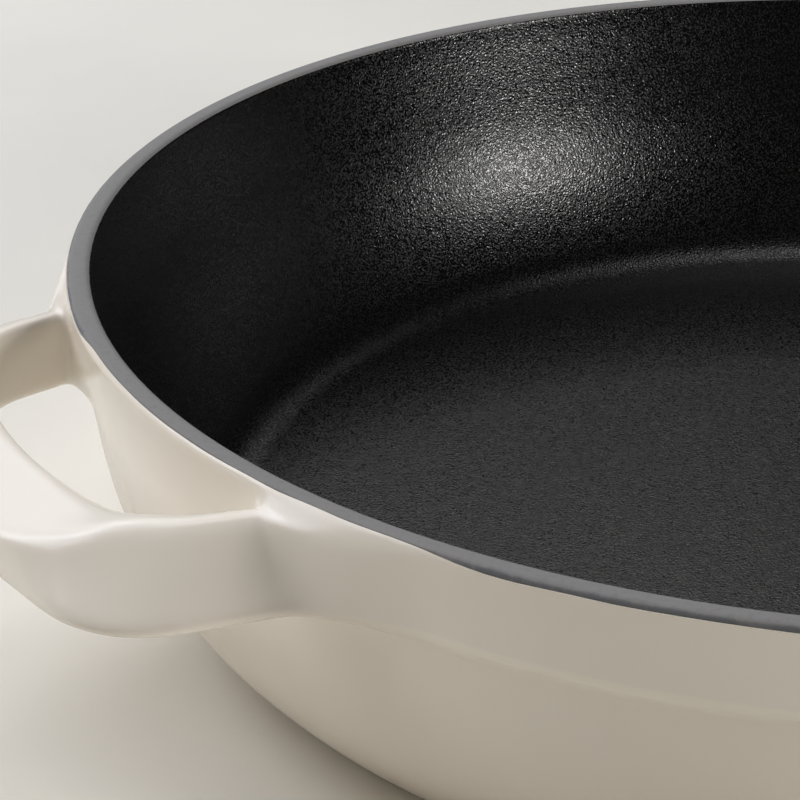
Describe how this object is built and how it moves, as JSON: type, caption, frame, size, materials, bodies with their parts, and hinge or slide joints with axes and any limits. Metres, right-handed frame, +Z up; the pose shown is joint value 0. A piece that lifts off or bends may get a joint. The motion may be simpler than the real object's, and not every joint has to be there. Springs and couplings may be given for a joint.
{
  "type": "serving pan",
  "caption": "Shallow round enamelled cast-iron serving pan with looped side handles, pale gloss outside and a black satin cooking surface.",
  "frame": {"origin": "centre of the foot ring, on the surface the pan stands on", "axes": "+Z up out of the pan, X through both loop handles, Y across them"},
  "size_m": [0.3654, 0.3008, 0.06],
  "materials": {
    "iron": "matte",
    "pale_enamel": "gloss",
    "black_enamel": "satin",
    "ground_coat": "matte",
    "base_enamel": "gloss"
  },
  "bodies": {
    "root": {"iron_casting": "iron", "outside_enamel": "pale_enamel", "inside_enamel": "black_enamel", "lip_ground_coat": "ground_coat", "base_enamel": "base_enamel"}
  },
  "joints": []
}
